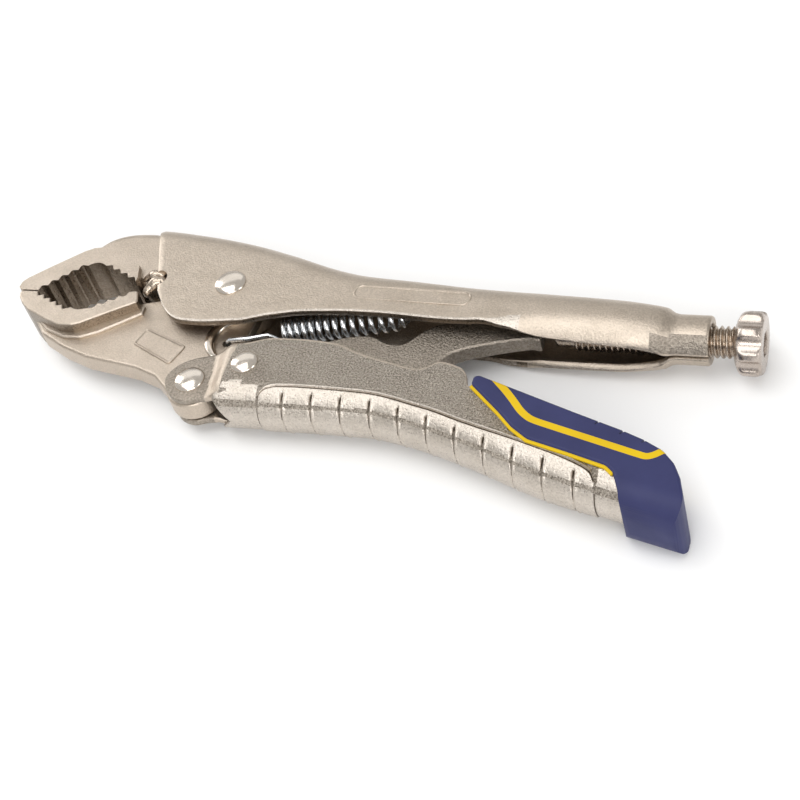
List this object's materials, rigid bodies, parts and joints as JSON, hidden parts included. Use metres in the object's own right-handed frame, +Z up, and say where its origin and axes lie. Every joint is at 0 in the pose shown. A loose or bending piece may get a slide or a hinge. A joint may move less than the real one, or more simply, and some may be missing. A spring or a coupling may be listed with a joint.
{
  "type": "locking pliers",
  "caption": "Locking pliers with curved toothed jaws, over-centre toggle linkage, adjusting screw with fluted knob, return spring and a two-colour moulded grip.",
  "frame": {"origin": "middle of the underside of the pliers lying on their side", "axes": "+X along the adjusting screw towards its knob, +Y from the lower handle to the upper handle, +Z up through the thickness"},
  "size_m": [0.1758, 0.0754, 0.0152],
  "materials": {
    "nickel_sheet": "satin nickel plate over blasted sheet steel",
    "nickel_sheet_blasted": "nickel plate over coarse blasted sheet steel",
    "nickel_forging": "satin nickel plate on a forging",
    "nickel_link": "nickel plate over coarse blasted steel",
    "weld_metal": "plated weld bead",
    "rivet_steel": "bright nickel plated rivet head",
    "spring_zinc": "bright zinc plated spring wire",
    "screw_steel": "plated thread, slightly dull",
    "knob_steel": "polished nickel plate",
    "grip_yellow": "matt moulded yellow",
    "grip_blue": "matt moulded dark blue with a fine texture"
  },
  "bodies": {
    "frame": {"upper_handle": "nickel_sheet", "fixed_jaw": "nickel_forging", "jaw_welds": "weld_metal", "jaw_pivot_rivet": "rivet_steel", "return_spring": "spring_zinc"},
    "jaw": {"movable_jaw": "nickel_forging"},
    "handle": {"lower_handle": "nickel_sheet_blasted", "handle_rivet": "rivet_steel", "toggle_rivet": "rivet_steel", "grip_base": "grip_yellow", "grip_cover": "grip_blue"},
    "toggle": {"toggle_link": "nickel_link"},
    "screw": {"adjusting_screw": "screw_steel"},
    "knob": {"screw_knob": "knob_steel"}
  },
  "joints": [
    {"name": "jaw_hinge", "type": "hinge", "parent": "frame", "child": "jaw", "pos_m": [-0.03305, 0.01795, 0.0076], "axis": [0, 0, 1], "range_deg": [0, 14.6], "deforming": ["return_spring"]},
    {"name": "handle_swing", "type": "hinge", "parent": "jaw", "child": "handle", "pos_m": [-0.03335, -0.00985, 0.0076], "axis": [0, 0, 1], "range_deg": [-72.5, 0]},
    {"name": "toggle_hinge", "type": "hinge", "parent": "handle", "child": "toggle", "pos_m": [-0.02095, -0.00565, 0.0076], "axis": [0, 0, 1], "range_deg": [0, 69]},
    {"name": "screw_travel", "type": "slide", "parent": "frame", "child": "screw", "axis": [1, 0, 0], "range_m": [0, 0.00765]},
    {"name": "knob_turn", "type": "hinge", "parent": "screw", "child": "knob", "pos_m": [0.08545, 0.01305, 0.0076], "axis": [1, 0, 0], "range_deg": [0, 2160]}
  ],
  "couplings": [
    {"joint": "jaw_hinge", "follows": "handle_swing", "ratio": -0.2013},
    {"joint": "toggle_hinge", "follows": "handle_swing", "ratio": -0.9514},
    {"joint": "screw_travel", "follows": "knob_turn", "m_per_rad": 0.00020213}
  ]
}
